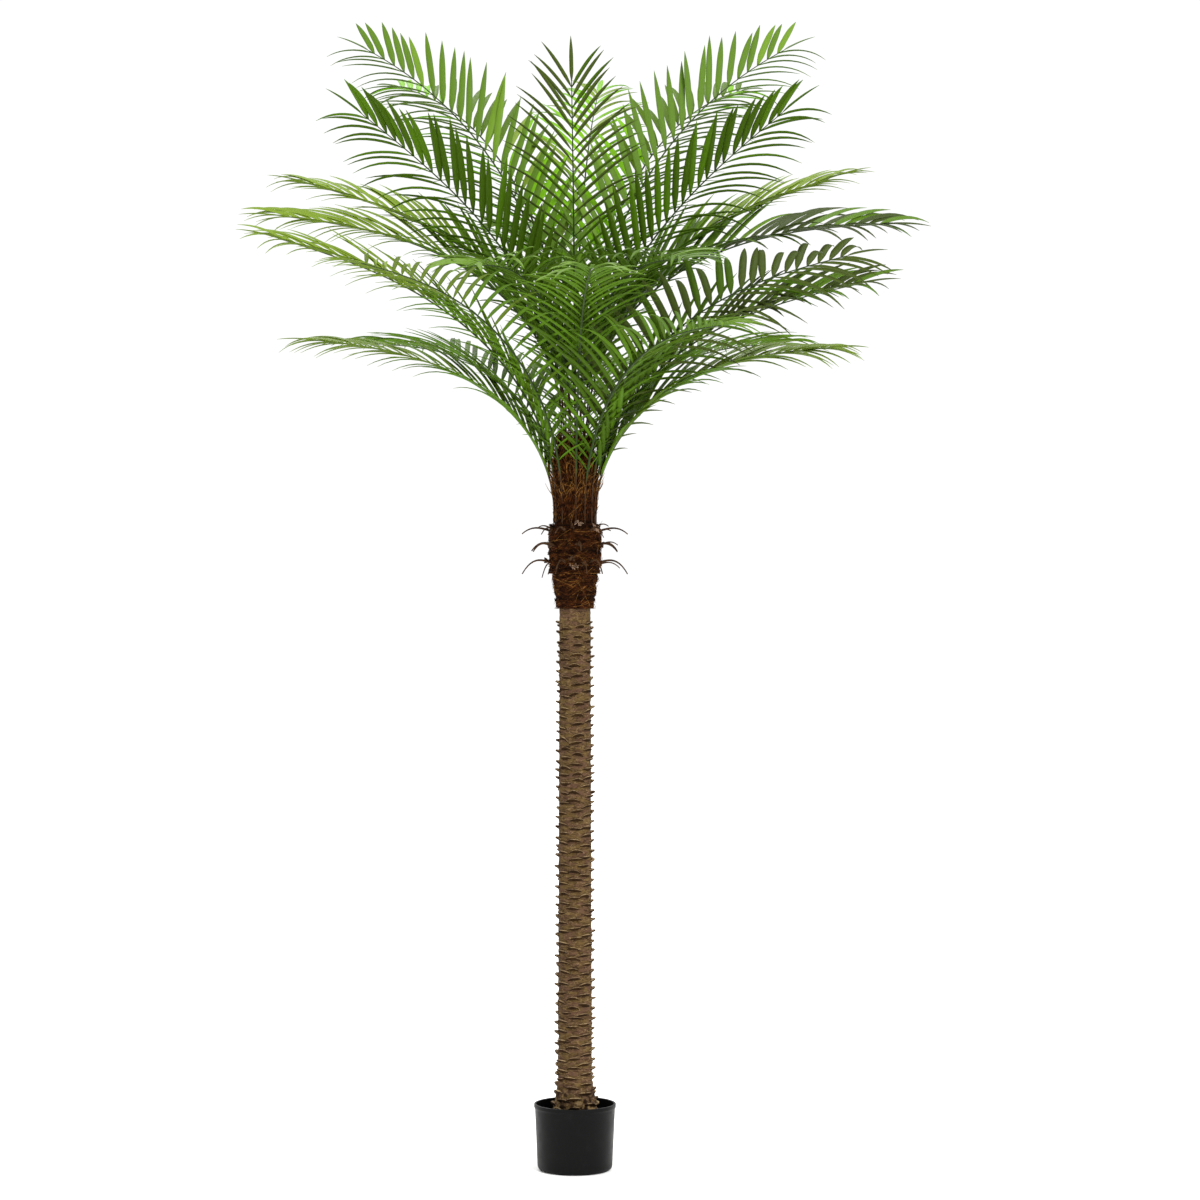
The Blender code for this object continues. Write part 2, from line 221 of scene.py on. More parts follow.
# Satin outside: fine grain breaks up its shine, and scuffs leave soft, slightly dusty patches
pot_plastic, tree, shader = finish_named("moulded black polypropylene", "#090909", 0.42,
                                         Specular_IOR_Level=0.08)
coordinates = add_node(tree, "TexCoord", {})
grain = add_node(tree, "TexNoise", {"Vector": coordinates.outputs["Object"],
                                    "Scale": 1000 / GRAIN_MM, "Detail": 2})
scuffs = add_node(tree, "TexNoise", {"Vector": coordinates.outputs["Object"],
                                     "Scale": 1000 / SCUFF_MM, "Detail": 8, "Roughness": 0.72})
worn = add_node(tree, "MapRange", {"Value": scuffs.outputs["Fac"], "From Min": 0.42, "From Max": 0.74,
                                   "To Min": 0.36, "To Max": 0.56})
dusty = add_node(tree, "MapRange", {"Value": scuffs.outputs["Fac"], "From Min": 0.55, "From Max": 0.8})
tone = add_node(tree, "Mix", {0: dusty.outputs[0], 6: linear("#090909"), 7: linear("#151414")},
                data_type="RGBA")
bump = add_node(tree, "Bump", {"Height": grain.outputs["Fac"], "Strength": 0.25, "Distance": 0.0002})
tree.links.new(tone.outputs[2], shader.inputs["Base Color"])
tree.links.new(worn.outputs[0], shader.inputs["Roughness"])
tree.links.new(bump.outputs["Normal"], shader.inputs["Normal"])

# Inside, the same plastic, dull with dust, and painted nearly black as painted shade for the hollow of
# the pot
pot_inside_painted_shade, tree, shader = finish_named("inside of the pot darkened as painted shade", "#040404", 0.7,
                                        Specular_IOR_Level=0.03)
coordinates = add_node(tree, "TexCoord", {})
dust = add_node(tree, "TexNoise", {"Vector": coordinates.outputs["Object"], "Scale": 1000 / DUST_MM,
                                   "Detail": 6})
tone = add_node(tree, "Mix", {0: dust.outputs["Fac"], 6: linear("#030303"), 7: linear("#080706")},
                data_type="RGBA")
tree.links.new(tone.outputs[2], shader.inputs["Base Color"])

shell = spun(pot_profile, POT_STEPS)
# Faces inside the wall take the darker finish, which is painted shade
for face in shell.faces:
    middle = face.calc_center_median()
    wall_inside = lip_inside - (lip_inside - foot_inside) * (1 - middle.z / pot_high.z)
    inside = middle.xy.length < wall_inside - 0.0002 and middle.z > POT_WALL / 2
    face.material_index = 1 if inside else 0
make_piece("pot_shell", shell, "pot_plastic", ["pot"], pot_plastic, pot_inside_painted_shade, sharp=40)


# Filling
# Cement poured round the trunk's foot to weigh the pot down, and left as it set: a rough grey
# surface with shallow waves and pits.
CEMENT_STEPS = 120
CEMENT_RINGS = 22
CEMENT_WAVE = 0.0016    # height of the waves in its surface
CEMENT_WAVES_MM = 26
CEMENT_SKIN = 0.02      # how far the shown surface turns down at its two edges
CEMENT_UNDERLAP = 0.004  # how far it runs in under the trunk's foot
MOTTLE_MM = 11.1
PIT_MM = 3.85


def relief(place, size_mm, seed, octaves=4):
    """Smooth random height, about -1 to 1, at a place, for lumps of the given size."""
    return noise.fractal(place * (1000 / size_mm) + Vector((seed, 0, 0)), 1.0, 2.0, octaves)


cement_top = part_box("filling")[1].z
cement_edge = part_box("filling")[1].x
trunk_foot_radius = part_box("trunk")[1].x
socket = trunk_foot_radius - CEMENT_UNDERLAP
cement_profile = [(socket, cement_top - CEMENT_SKIN)]
for i in range(CEMENT_RINGS + 1):
    cement_profile.append((socket + (cement_edge - socket) * i / CEMENT_RINGS, cement_top - CEMENT_WAVE))
cement_profile += [(cement_edge - CEMENT_UNDERLAP, cement_top - 1.5 * CEMENT_SKIN),
                   (socket, cement_top - CEMENT_SKIN)]
cement = spun(cement_profile, CEMENT_STEPS)
for vert in cement.verts:
    if vert.co.z > cement_top - CEMENT_SKIN / 2:
        vert.co.z += CEMENT_WAVE * relief(vert.co, CEMENT_WAVES_MM, 3)

# Matt and mottled where it dried unevenly, with the small pits of air bubbles
cement_grey, tree, shader = finish_named("poured cement", "#6f6c66", 0.92)
coordinates = add_node(tree, "TexCoord", {})
mottle = add_node(tree, "TexNoise", {"Vector": coordinates.outputs["Object"], "Scale": 1000 / MOTTLE_MM,
                                     "Detail": 8})
pits = add_node(tree, "TexVoronoi", {"Vector": coordinates.outputs["Object"], "Scale": 1000 / PIT_MM})
tone = add_node(tree, "Mix", {0: mottle.outputs["Fac"], 6: linear("#45423d"), 7: linear("#8b877f")},
                data_type="RGBA")
bump = add_node(tree, "Bump", {"Height": pits.outputs["Distance"], "Strength": 0.5, "Distance": 0.0008})
tree.links.new(tone.outputs[2], shader.inputs["Base Color"])
tree.links.new(bump.outputs["Normal"], shader.inputs["Normal"])
make_piece("cement_surface", cement, "cement", ["filling"], cement_grey)


# Trunk
# A stem moulded in tan resin from a real palm: a bare shaft, wrinkled like old cloth, with the
# scars of old leaves on a spiral up it. Each scar is a pointed lip that stands out and up, dark
# underneath, partly dark paint and partly painted shadow, and pale on its upper edge, partly worn and
# partly a painted highlight. Its paint also has painted shade in creases and painted highlights on
# ridges. The foot swells and cracks where it meets the cement.
SHAFT_FOOT_RADIUS = 0.0442
SHAFT_TOP_RADIUS = 0.0404
SHAFT_STEPS = 112
SHAFT_RING = 0.0042     # height of one ring of faces
SCALE_TURN = 135.05     # degrees round the shaft from one scale to the next
SCALE_FIRST = -10       # degrees from +X of the lowest scale
SCALE_RISE = 0.0032     # height from one scale to the next
SCALE_WIDTH = 0.030
SCALE_WIDER = 0.30      # share by which scales are wider at the foot of the trunk
SCALE_HEIGHT = 0.016
SCALE_REACH = 0.0098    # how far a lip's point stands out
SCALE_FACES_ACROSS = 8
SCALE_ENDS = (0.12, 0.35)  # shares of its reach and its rise that a lip keeps at its two ends
FLARE_TOP = 0.235
FLARE_EXTRA = 0.006
FLARE_CURVE = 1.3
FLARE_BURIED = 0.012    # how far the shaft goes on below the cement
FOLD_HEIGHT = 0.0015
FOLD_MM = 17
CRAG_GROWTH = 3.0       # how much higher the folds are where the foot swells
SEAM = 1.025            # height where two castings meet and the scales crowd
SEAM_REACH = 0.02
CRAG_REACH = 0.06       # height over the cement up to which the scales crowd and stray
COLLAR = 0.030          # bare band under the sleeves
SHAFT_HIDDEN = 0.02     # how far the shaft goes up into the lowest sleeve, above which the core starts
CORE_CHAMFER = 0.004
CORE_DROP = 0.002       # by which the core inside the sleeves is thinner and lower than the solid one

# Rows of one scale, from its root below to its root above: share of its reach, share of its height
SCALE_FORM = ((-0.15, -0.80), (0.04, -0.50), (0.14, -0.34), (0.46, -0.25), (0.82, -0.12), (1.0, 0.02),
              (0.97, 0.13), (0.78, 0.21), (0.24, 0.19), (-0.15, 0.08))
# About a lip's point the dark tone reaches further down, over the painted shadow under the lip
LIP_MIDDLE = 0.60       # the dark tone is deeper on this share of a lip, about its point
LIP_SHARE = 0.88        # share of a scale's width with the tones of its lip

# Sizes of the patterns in its paint and relief
SQUAT = 3.2             # how many times wider than high the blotches and creases are
BLOTCH_MM = 37.04
PATCH_MM = 11.765
CREASE_PAINTED_SHADE_MM = 37.04
RIDGE_PAINTED_HIGHLIGHT_MM = 27.78
CRAG_HOLE_MM = 13.33
BARK_GRAIN_MM = 4.762

trunk_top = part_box("trunk")[1].z
sleeve_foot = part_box("lower_sleeve")[0].z
shaft_foot = cement_top - FLARE_BURIED


def around(radius, turn, z):
    """The place at a distance from the axis, a turn about it in radians, and a height."""
    return Vector((radius * math.cos(turn), radius * math.sin(turn), z))


def away(place):
    """The level direction from the axis to a place."""
    return Vector((place.x, place.y, 0)).normalized()


def shaft_radius(z):
    """Radius of the shaft between its scales, with the flare over the cement."""
    share = min(max((z - FLARE_TOP) / (sleeve_foot - FLARE_TOP), 0), 1)
    radius = SHAFT_FOOT_RADIUS + (SHAFT_TOP_RADIUS - SHAFT_FOOT_RADIUS) * share
    flare = min(max(0, (FLARE_TOP - z) / (FLARE_TOP - cement_top)), 1.05)
    return radius + (trunk_foot_radius + FLARE_EXTRA - radius) * flare ** FLARE_CURVE


def folds(place):
    """Height of the cloth-like wrinkles, which run round the shaft more than along it."""
    stretched = Vector((place.x * 0.5, place.y * 0.5, place.z * 1.9))
    crags = max(0, (FLARE_TOP - place.z) / (FLARE_TOP - cement_top))
    return relief(stretched, FOLD_MM, 11, 5) * FOLD_HEIGHT * (1 + CRAG_GROWTH * crags)


def add_scale(bm, angle, z, width, height, reach, arch, lean):
    """A scale on the shaft: a blunt wedge with a flat top and an arched lip, thinner at its ends."""
    end_reach, end_rise = SCALE_ENDS
    rows = len(SCALE_FORM)
    grid = bmesh.ops.create_grid(bm, x_segments=SCALE_FACES_ACROSS, y_segments=rows - 1,
                                 size=0.5)["verts"]
    for face in {face for vert in grid for face in vert.link_faces}:
        middle = face.calc_center_median()
        row = int((middle.y + 0.5) * (rows - 1))
        across = abs(middle.x) * 2
        # The dark finish covers the lip's dark paint and the painted shadow under it, the pale one its
        # wear and a painted highlight
        if across < LIP_SHARE:
            dark = (2, 3, 4, 5) if across < LIP_MIDDLE else (3, 4, 5)
            face.material_index = 1 if row in dark else 2 if row in (6, 7) else 0
    radius = shaft_radius(z)
    for vert in grid:
        across = 2 * vert.co.x
        out, up = SCALE_FORM[round((vert.co.y + 0.5) * (rows - 1))]
        point = 1 - across ** 2
        rise = up * (end_rise + (1 - end_rise) * point) - arch * across ** 2 + lean * across
        climb = z + height * rise
        turn = angle + across * width / 2 / radius
        stand = reach * out * (end_reach + (1 - end_reach) * point) if out > 0 else reach * out
        stand += shaft_radius(climb) + folds(around(radius, turn, climb))
        vert.co = around(stand, turn, climb)


ring_count = round((sleeve_foot + SHAFT_HIDDEN - shaft_foot) / SHAFT_RING)
ring_heights = [shaft_foot + i * SHAFT_RING for i in range(ring_count)]
core_radius = SHAFT_TOP_RADIUS - CORE_DROP
core_top = trunk_top - CORE_DROP
trunk_profile = [(0, shaft_foot)]
trunk_profile += [(shaft_radius(z), z) for z in ring_heights]
trunk_profile += [(core_radius, core_top - CORE_CHAMFER), (core_radius - CORE_CHAMFER, core_top),
                  (0, core_top)]
shaft = spun(trunk_profile, SHAFT_STEPS)
for vert in shaft.verts:
    if vert.co.xy.length > 0.01 and vert.co.z < sleeve_foot + 0.03:
        vert.co += away(vert.co) * folds(vert.co)

# The scales follow one spiral. Each strays a little from it, most of all in the crags of the foot.
chance = random.Random(4)
scales = bmesh.new()
highest = sleeve_foot - COLLAR
z = cement_top + 0.006
count = 0
while z < highest:
    share = (z - cement_top) / (highest - cement_top)
    crag = max(0, 1 - (z - cement_top) / CRAG_REACH)
    seam = max(0, 1 - abs(z - SEAM) / SEAM_REACH)
    angle = math.radians(SCALE_FIRST + SCALE_TURN * count) + chance.gauss(0, 0.10 + 0.3 * crag)
    middle = z + chance.gauss(0, 0.0018)
    width = SCALE_WIDTH * (1 + SCALE_WIDER * (1 - share)) * chance.uniform(0.8, 1.15)
    height = SCALE_HEIGHT * chance.uniform(0.85, 1.15)
    reach = SCALE_REACH * chance.uniform(0.75, 1.12) * (1 + 0.2 * crag)
    arch = chance.gauss(0.20, 0.12)
    lean = chance.gauss(0, 0.08 + 0.2 * crag)
    add_scale(scales, angle, middle, width, height, reach, arch, lean)
    z += SCALE_RISE * (1 - 0.30 * seam - 0.60 * crag)
    count += 1
bmesh.ops.recalc_face_normals(scales, faces=scales.faces)


def bark_finish(name, tones, roughness):
    """Painted resin, matt as old bark. Its tones are for three blotches, the painted shade in the
    creases and the painted highlight on the ridges.
    """
    first_tone, second_tone, patch_tone, crease_painted_shade, ridge_painted_highlight = [linear(tone) for tone in tones]
    material, tree, shader = finish_named(name, tones[0], roughness, Specular_IOR_Level=0.05)
    coordinates = add_node(tree, "TexCoord", {})
    squat = add_node(tree, "Mapping", {"Vector": coordinates.outputs["Object"], "Scale": (1, 1, SQUAT)})

    # Blotches where the paint was brushed on in three browns
    blotches = add_node(tree, "TexNoise", {"Vector": squat.outputs[0], "Scale": 1000 / BLOTCH_MM,
                                           "Detail": 3})
    patches = add_node(tree, "TexNoise", {"Vector": squat.outputs[0], "Scale": 1000 / PATCH_MM,
                                          "Detail": 6, "Distortion": 0.6})
    blotch = add_node(tree, "MapRange", {"Value": blotches.outputs["Fac"],
                                         "From Min": 0.42, "From Max": 0.58})
    patch = add_node(tree, "MapRange", {"Value": patches.outputs["Fac"],
                                        "From Min": 0.46, "From Max": 0.70})
    brushed = add_node(tree, "Mix", {0: blotch.outputs[0], 6: first_tone, 7: second_tone},
                       data_type="RGBA")
    tone = add_node(tree, "Mix", {0: patch.outputs[0], 6: brushed.outputs[2], 7: patch_tone},
                    data_type="RGBA")

    # Painted shade in dark creases and painted highlights on pale ridges wind round the shaft, where a
    # noise crosses its middle value
    for size_mm, reach, strength, line_tone in ((CREASE_PAINTED_SHADE_MM, 0.024, 0.85, crease_painted_shade),
                                                (RIDGE_PAINTED_HIGHLIGHT_MM, 0.015, 0.75, ridge_painted_highlight)):
        winding = add_node(tree, "TexNoise", {"Vector": squat.outputs[0], "Scale": 1000 / size_mm,
                                              "Detail": 3, "Distortion": 0.5})
        centred = add_node(tree, "Math", {0: winding.outputs["Fac"], 1: 0.5}, operation="SUBTRACT")
        distance = add_node(tree, "Math", {0: centred.outputs[0]}, operation="ABSOLUTE")
        line = add_node(tree, "MapRange", {"Value": distance.outputs[0], "From Max": reach,
                                           "To Min": strength, "To Max": 0})
        tone = add_node(tree, "Mix", {0: line.outputs[0], 6: tone.outputs[2], 7: line_tone},
                        data_type="RGBA")

    # The swollen foot is darker toward the cement, with painted shade in dark holes and painted
    # highlights as glints among its crags
    height = add_node(tree, "SeparateXYZ", {"Vector": coordinates.outputs["Object"]})
    flared = add_node(tree, "MapRange", {"Value": height.outputs["Z"], "From Min": cement_top + 0.02,
                                         "From Max": FLARE_TOP, "To Min": 1, "To Max": 0})
    crags = add_node(tree, "TexNoise", {"Vector": coordinates.outputs["Object"],
                                        "Scale": 1000 / CRAG_HOLE_MM, "Detail": 2})
    hole_painted_shade = add_node(tree, "MapRange", {"Value": crags.outputs["Fac"], "From Min": 0.40,
                                       "From Max": 0.47, "To Min": 1.8, "To Max": 0})
    glint_painted_highlight = add_node(tree, "MapRange", {"Value": crags.outputs["Fac"], "From Min": 0.56,
                                        "From Max": 0.64, "To Max": 1.2})
    for mark, mark_tone in ((hole_painted_shade, crease_painted_shade), (glint_painted_highlight, ridge_painted_highlight)):
        share = add_node(tree, "Math", {0: mark.outputs[0], 1: flared.outputs[0]}, operation="MULTIPLY")
        tone = add_node(tree, "Mix", {0: share.outputs[0], 6: tone.outputs[2], 7: mark_tone},
                        data_type="RGBA")
    darker_toward_cement = add_node(tree, "MapRange", {"Value": flared.outputs[0], "To Min": 1, "To Max": 0.62})
    tone = add_node(tree, "VectorMath", {0: tone.outputs[2], "Scale": darker_toward_cement.outputs[0]},
                    operation="SCALE")

    grain = add_node(tree, "TexNoise", {"Vector": squat.outputs[0], "Scale": 1000 / BARK_GRAIN_MM,
                                        "Detail": 8, "Roughness": 0.7})
    bump = add_node(tree, "Bump", {"Height": grain.outputs["Fac"], "Strength": 0.6, "Distance": 0.0014})
    tree.links.new(tone.outputs["Vector"], shader.inputs["Base Color"])
    tree.links.new(bump.outputs["Normal"], shader.inputs["Normal"])
    return material


# The shaft is tan and dull. A lip is dark underneath, partly dark paint and partly painted shadow,
# and its upper edge is rubbed pale and smoother, partly wear and partly a painted highlight
bark_tan = bark_finish("tan resin bark", ("#574527", "#533d2e", "#3c2b1b", "#20140a", "#8a7350"), 0.8)
lip_dark_with_painted_shadow = bark_finish("dark scale lip with painted shadow", ("#33220f", "#281a0c", "#1b1108", "#130b05", "#3f2a15"), 0.9)
lip_worn_with_painted_highlight = bark_finish("worn scale edge with painted highlight", ("#8d7858", "#76614a", "#54412c", "#33241a", "#b29c78"), 0.6)
make_piece("trunk_shaft", shaft, "bark", ["trunk"], bark_tan, sharp=60)
make_piece("trunk_scales", scales, "bark", ["trunk"], bark_tan, lip_dark_with_painted_shadow, lip_worn_with_painted_highlight, sharp=60)


# Fibre wraps
# Red-brown palm fibre, the net from round real palm leaves, wound dry round the stem in three wraps.
# Strands run round the two lower wraps and up the tall one, whose top edge is frayed and golden.

# For each wrap its outer radii at its foot, middle and top, the slope of its strands and how much that
# slope varies, in degrees, and the number of strands
WRAPS = {
    "lower_sleeve": ((0.0455, 0.0520, 0.0570), 4, 22, 1100),
    "main_sleeve": ((0.0630, 0.0655, 0.0645), 0, 26, 1500),
    "upper_sheath": ((0.0520, 0.0550, 0.0390), 82, 22, 1900),
}
TIES = (1.487, 1.562, 1.606, 1.669)  # heights where dark threads pull the wraps in
TIE_THREADS = 46
TIE_DEPTH = 0.0045
TIE_REACH = 0.0035
TIE_STANDS_OFF = 0.0030
TIE_TURN = 0.18         # radians round the stem between two points of a tie's thread
CLOSES_FROM = 0.68      # share of a wrap's height where it starts to close in toward its top
CLOSES_OVER = 0.15
WRAP_STEPS = 120
WRAP_RINGS = 40
WRAP_SKIN = 0.0008      # by which the wrap's ground lies under its strands
WRAP_LUMPS = 0.0030
LUMP_MM = 15
STRAND_RADIUS = 0.00075
STRAND_STEPS = 5
STRAND_LENGTHS = (0.030, 0.085)
STRAND_LIFTS = (0.0002, 0.0034)  # how far a strand's middle stands off its wrap
FRAY_STANDS_OFF = 0.009  # how far the end of the most frayed strand stands off
FRAY_OVERSHOOT = 0.010  # how far it goes on over the edge of its wrap
CLUMP_MM = 16.13
CLUMP_SQUAT = 1.8       # how many times wider than high the clumps are
FUZZ_MM = 3.125         # coarser than real fuzz, which is too fine to show
GOLDEN_SHARE = 0.08
RUSTY_SHARE = 0.40
FRAYED_GOLDEN = 0.40    # by how much more of the frayed strands are golden
FRAYED_STRANDS = 1000   # loose ends round the frayed edge of the tall wrap
FRAYED_LENGTHS = (0.015, 0.050)
FRAYED_FROM = 1.740
FRAYED_TO = 1.897
FRINGE = 0.015          # height of the fringe at the very edge, whose ends also lean inward

wrap_ends = {node: (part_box(node)[0].z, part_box(node)[1].z) for node in WRAPS}


def wrap_radius(node, z):
    """Radius of a wrap's outside at a height, which closes in toward its top edge and at each tie."""
    low, high = wrap_ends[node]
    foot, middle, top = WRAPS[node][0]
    share = min(max((z - low) / (high - low), 0), 1)
    closed = min(max((share - CLOSES_FROM) / CLOSES_OVER, 0), 1)
    radius = foot + (middle - foot) * min(2 * share, 1) + (top - middle) * closed ** 2 * (3 - 2 * closed)
    return radius - sum(TIE_DEPTH * math.exp(-((z - tie) / TIE_REACH) ** 2) for tie in TIES)


def wrap_lump(node, place):
    """Height of a wrap's lumps, which lie along its strands."""
    upright = WRAPS[node][1] > 45
    drawn = Vector((1, 1, 0.5)) if upright else Vector((0.7, 0.7, 1.4))
    return WRAP_LUMPS * relief(place * drawn, LUMP_MM, 30 + len(node), 3)


def wrap_surface(node, turn, z):
    """Distance from the axis to the lumpy outside of a wrap."""
    radius = wrap_radius(node, z)
    return radius + wrap_lump(node, around(radius, turn, z))


def tubes(curve_name, paths, thickness, sides_level, bm):
    """Adds thin tubes to a bmesh. A path is its points, each with its share of the thickness, and the
    number of its material."""
    curve = bpy.data.curves.new(curve_name, "CURVE")
    curve.dimensions = "3D"
    curve.bevel_depth = thickness
    curve.bevel_resolution = sides_level
    curve.use_fill_caps = True
    for _ in range(max(number for _, number in paths) + 1):
        curve.materials.append(None)
    for points, number in paths:
        spline = curve.splines.new("POLY")
        spline.points.add(len(points) - 1)
        for point, (place, share) in zip(spline.points, points):
            point.co = (*place, 1)
            point.radius = share
        spline.material_index = number
        spline.use_smooth = True
    holder = place_in_scene(curve_name, curve)
    mesh = bpy.data.meshes.new_from_object(holder.evaluated_get(bpy.context.evaluated_depsgraph_get()))
    bm.from_mesh(mesh)
    bpy.data.objects.remove(holder)
    bpy.data.curves.remove(curve)
    bpy.data.meshes.remove(mesh)


def fibre_shade(chance, extra=0):
    """Number of the finish of one strand: mostly dark or rusty, now and then golden."""
    dice = chance.random() - extra
    return 2 if dice < GOLDEN_SHARE else 1 if dice < GOLDEN_SHARE + RUSTY_SHARE else 0


def strand(node, chance):
    """One fibre that lies on its wrap between its two edges, and leaves it a little at its end."""
    low, high = wrap_ends[node]
    _, slope, spread, _ = WRAPS[node]
    fray = chance.random() ** 5
    length = chance.uniform(*STRAND_LENGTHS)
    heading = math.radians(chance.gauss(slope, spread))
    if chance.random() < 0.5 and slope < 45:
        heading += math.pi
    bend = chance.gauss(0, 0.7)
    z = chance.uniform(low, high - 0.5 * length * max(0, math.sin(heading)))
    turn = chance.uniform(0, math.tau)
    lift = chance.uniform(*STRAND_LIFTS)
    step = length / STRAND_STEPS
    points = []
    for i in range(STRAND_STEPS + 1):
        share = i / STRAND_STEPS
        stand = wrap_surface(node, turn, z)
        stand += lift * math.sin(math.pi * (0.15 + 0.7 * share)) + FRAY_STANDS_OFF * fray * share ** 3
        points.append((around(stand, turn, z), 1 - 0.55 * share))
        z += step * math.sin(heading + bend * share)
        z = min(max(z, low - 0.001), high + 0.002 + FRAY_OVERSHOOT * fray)
        turn += step * math.cos(heading + bend * share) / stand
    return points, fibre_shade(chance)


def tie_thread(node, tie, chance):
    """One of the dark threads wound round a wrap at a tie, with the near-black painted shade of its
    groove.
    """
    turn = chance.uniform(0, math.tau)
    z = tie + chance.gauss(0, 0.0022)
    drift = chance.gauss(0, 0.0018)
    points = []
    for i in range(STRAND_STEPS * 2 + 1):
        points.append((around(wrap_surface(node, turn, z) + TIE_STANDS_OFF, turn, z), 1.2))
        turn += TIE_TURN
        z += drift / STRAND_STEPS
    return points, CREVICE_PAINTED_SHADE


def frayed_strand(chance):
    """One loose end at the frayed edge of the tall wrap, which stands off and curls."""
    turn = chance.uniform(0, math.tau)
    z = chance.uniform(FRAYED_FROM, FRAYED_TO)
    stand = wrap_radius("upper_sheath", z) - 0.001
    step = chance.uniform(*FRAYED_LENGTHS) / STRAND_STEPS
    outward = chance.uniform(-0.8 if z > FRAYED_TO - FRINGE else 0, 0.85)
    curl = chance.gauss(0, 1.1)
    points = []
    for i in range(STRAND_STEPS + 1):
        share = i / STRAND_STEPS
        points.append((around(stand, turn, z), 1.35 - 0.75 * share))
        stand += step * outward * (1 - 0.8 * share)
        z += step * (1 - 0.4 * share)
        turn += step * curl * share / stand
    return points, fibre_shade(chance, FRAYED_GOLDEN)


def fibre_finish(name, colour, roughness):
    """Dry palm fibre: matt, in clumps of darker and lighter tone, with a fine fuzz in its relief."""
    material, tree, shader = finish_named(name, colour, roughness, Specular_IOR_Level=0.05)
    coordinates = add_node(tree, "TexCoord", {})
    clumped = add_node(tree, "Mapping", {"Vector": coordinates.outputs["Object"],
                                         "Scale": (1, 1, CLUMP_SQUAT)})
    clumps = add_node(tree, "TexNoise", {"Vector": clumped.outputs[0], "Scale": 1000 / CLUMP_MM,
                                         "Detail": 5, "Roughness": 0.62})
    fuzz = add_node(tree, "TexNoise", {"Vector": coordinates.outputs["Object"],
                                       "Scale": 1000 / FUZZ_MM, "Detail": 4})
    span = add_node(tree, "MapRange", {"Value": clumps.outputs["Fac"], "From Min": 0.36,
                                       "From Max": 0.64, "To Min": 0.30, "To Max": 1.70})
    tone = add_node(tree, "VectorMath", {0: linear(colour)[:3], "Scale": span.outputs[0]},
                    operation="SCALE")
    bump = add_node(tree, "Bump", {"Height": fuzz.outputs["Fac"], "Strength": 0.6, "Distance": 0.0008})
    tree.links.new(tone.outputs["Vector"], shader.inputs["Base Color"])
    tree.links.new(bump.outputs["Normal"], shader.inputs["Normal"])
    return material


# Most strands are dark, many rusty, a few golden where light comes through, and the ground under
# them and the tie threads nearly black, as painted shade in the crevices
fibre_finishes = (fibre_finish("dark palm fibre", "#2a1307", 0.9),
                  fibre_finish("rusty palm fibre", "#43230b", 0.85),
                  fibre_finish("golden palm fibre", "#6b4920", 0.75),
                  fibre_finish("fibre darkened as painted shade in crevices", "#1b0c04", 0.95))
CREVICE_PAINTED_SHADE = 3

wrap_inside = core_radius - 0.002
for number, node in enumerate(WRAPS):
    low, high = wrap_ends[node]
    wrap_profile = [(wrap_inside, low + 0.001)]
    for i in range(WRAP_RINGS + 1):
        z = low + (high - low) * i / WRAP_RINGS
        wrap_profile.append((wrap_radius(node, z) - WRAP_SKIN, z))
    wrap_profile += [(wrap_inside, high - 0.001), (wrap_inside, low + 0.001)]
    wrap = spun(wrap_profile, WRAP_STEPS)
    # The ground under the strands is painted near black as shade in the crevices between them
    for face in wrap.faces:
        face.material_index = CREVICE_PAINTED_SHADE
    for vert in wrap.verts:
        if vert.co.xy.length > core_radius:
            vert.co += away(vert.co) * wrap_lump(node, vert.co)
    chance = random.Random(20 + number)
    strands = [strand(node, chance) for _ in range(WRAPS[node][3])]
    if node == "upper_sheath":
        strands += [frayed_strand(chance) for _ in range(FRAYED_STRANDS)]
    for tie in TIES:
        if low < tie < high:
            strands += [tie_thread(node, tie, chance) for _ in range(TIE_THREADS)]
    tubes("strands", strands, STRAND_RADIUS, 0, wrap)
    make_piece(node.split("_")[0] + "_wrap", wrap, "fibre", [node], *fibre_finishes, sharp=80)


# Cut twigs
# Stiff dark stalks of the fruit bunches, cut short and pushed into the fibre in three tiers. Each
# arches out and down, most have a thinner one beside them, and a fan of split bark closes their root.
TWIG_RADIUS = 0.0032
TWIG_STEPS = 12
TWIG_ROOT = 0.012       # how far a twig goes on into the fibre
TWIG_REACH = 0.074
TWIG_SHORTER = 0.14
TWIG_RISE = 0.012
TWIG_ARCH = 108
TWIG_TIERS = (          # height, number of twigs, facet that the first stands on, and droop
    (1.660, 6, 0, 0.020),
    (1.621, 6, 2, 0.026),
    (1.578, 6, 0, 0.042),
)
FACETS = 24             # of the solid sleeve, whose faces the twigs stand on
SIDE_TWIG_SHARE = 0.75  # share of the twigs that have a thinner one beside them
SIDE_TWIG_TURN = 0.3    # radians round the stem between the two
SIDE_TWIG_THICKNESS = 0.75
FAN_PRONGS = 6
FAN_LENGTH = 0.011
PALE_FAN_SHARE = 0.35
CUT_STUBS = ((1.678, -81), (1.567, -93))  # height and angle of pale stalk ends cut off at the fibre
STUB_SPLINTERS = 16


def twig_line(z, angle, length, droop, thickness):
    """A twig's arch as the points of a tube, from inside the fibre to its cut end."""
    points = []
    for i in range(TWIG_STEPS + 1):
        share = -TWIG_ROOT / length + (1 + TWIG_ROOT / length) * i / TWIG_STEPS
        reach = wrap_radius("main_sleeve", z) + length * share
        height = z + TWIG_RISE * math.sin(math.radians(TWIG_ARCH) * share) - droop * max(share, 0) ** 3
        points.append((around(reach, angle, height), thickness * (1.15 - 0.65 * max(share, 0))))
    return points


